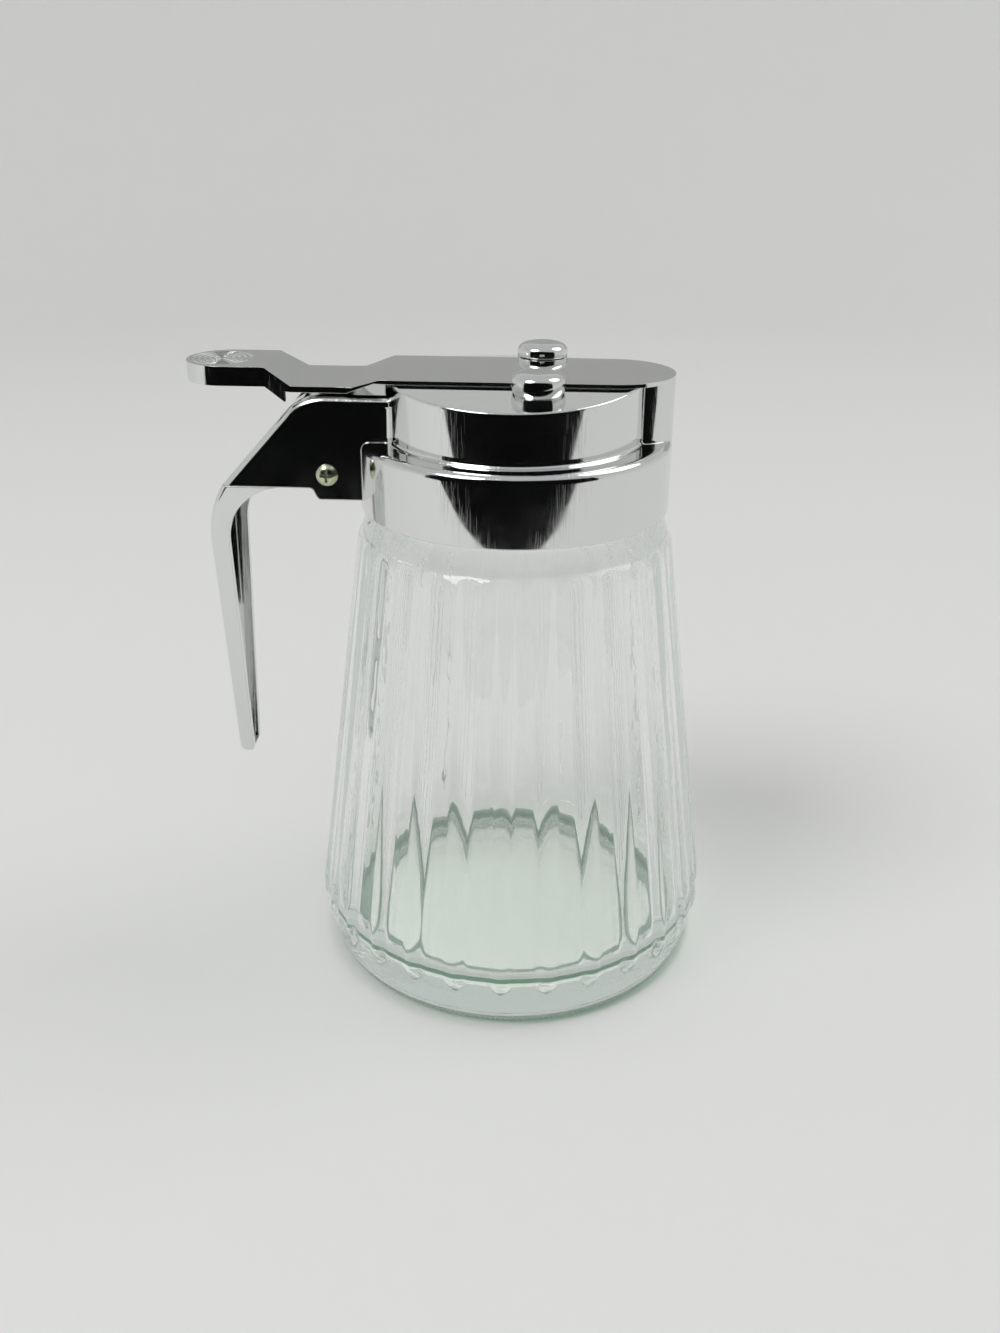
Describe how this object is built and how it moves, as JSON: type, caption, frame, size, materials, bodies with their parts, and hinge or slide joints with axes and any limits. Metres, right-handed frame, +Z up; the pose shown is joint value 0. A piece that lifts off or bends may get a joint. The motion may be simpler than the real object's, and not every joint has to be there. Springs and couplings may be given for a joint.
{
  "type": "syrup dispenser",
  "caption": "Ribbed glass syrup jar with a chromed screw top, a side handle and a sprung sliding gate that opens the spout and cuts off the pour.",
  "frame": {"origin": "on the jar's axis, at the centre of the flat face it stands on", "axes": "+Z up along the jar's axis, +X towards the spout, so the handle and thumb pad are on -X"},
  "size_m": [0.1216, 0.0972, 0.1466],
  "materials": {
    "clear_glass": "clear pressed soda-lime glass, fire polished, stippled round the foot",
    "plated_plastic": "moulded ABS with bright chrome plating, lightly scratched",
    "plated_screw": "bright plated steel",
    "spring_steel": "drawn stainless wire",
    "seal": "soft food-grade ring, matte"
  },
  "bodies": {
    "jar": {"glass_jar": "clear_glass"},
    "gasket": {"cap_gasket": "seal"},
    "cap": {"cap_body": "plated_plastic", "handle_grip": "plated_plastic", "handle_screw": "plated_screw", "return_spring": "spring_steel", "guide_knob_near": "plated_plastic", "guide_knob_far": "plated_plastic", "knob_screws": "plated_screw"},
    "gate": {"gate_slide": "plated_plastic"}
  },
  "joints": [
    {"name": "cap_lift", "type": "slide", "parent": "jar", "child": "gasket", "axis": [0, 0, 1], "range_m": [0, 0.0053]},
    {"name": "cap_turn", "type": "hinge", "parent": "gasket", "child": "cap", "pos_m": [0, 0, 0], "axis": [0, 0, 1], "range_deg": [0, 450]},
    {"name": "gate_pull", "type": "slide", "parent": "cap", "child": "gate", "axis": [-1, 0, 0], "range_m": [0, 0.01], "stiffness_N_per_m": 300, "springref_m": -0.01, "deforming": ["return_spring"]}
  ],
  "couplings": [
    {"joint": "cap_lift", "follows": "cap_turn", "m_per_rad": 0.00066845}
  ]
}
